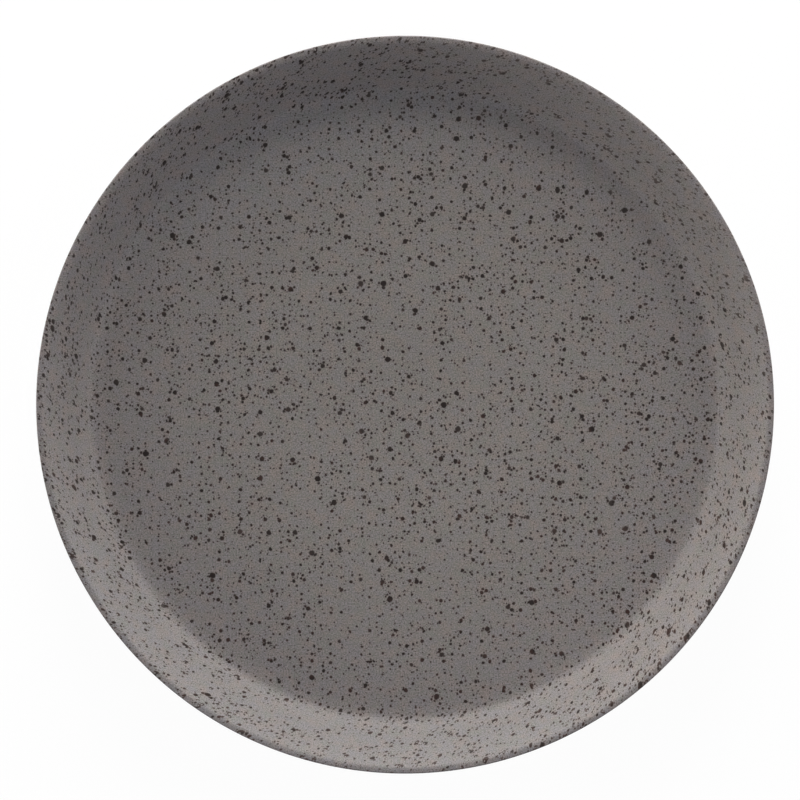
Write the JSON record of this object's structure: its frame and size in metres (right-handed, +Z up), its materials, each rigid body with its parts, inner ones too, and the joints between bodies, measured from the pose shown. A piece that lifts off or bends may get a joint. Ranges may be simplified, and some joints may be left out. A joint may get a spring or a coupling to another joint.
{
  "type": "salad plate",
  "caption": "Round coupe salad plate in grey speckled stoneware: flat floor, flared wall, rounded lip and a bare foot ring it stands on.",
  "frame": {"origin": "centre of the foot ring, on the surface the plate stands on", "axes": "+Z up along the axis the plate is turned about; +X and +Y are level, and any direction round the plate is alike"},
  "size_m": [0.21, 0.21, 0.025],
  "materials": {
    "bare_clay": "matte",
    "grey_glaze": "matte",
    "grey_base_glaze": "matte"
  },
  "bodies": {
    "root": {"clay_body": "bare_clay", "glaze_coat": "grey_glaze", "base_glaze": "grey_base_glaze"}
  },
  "joints": []
}
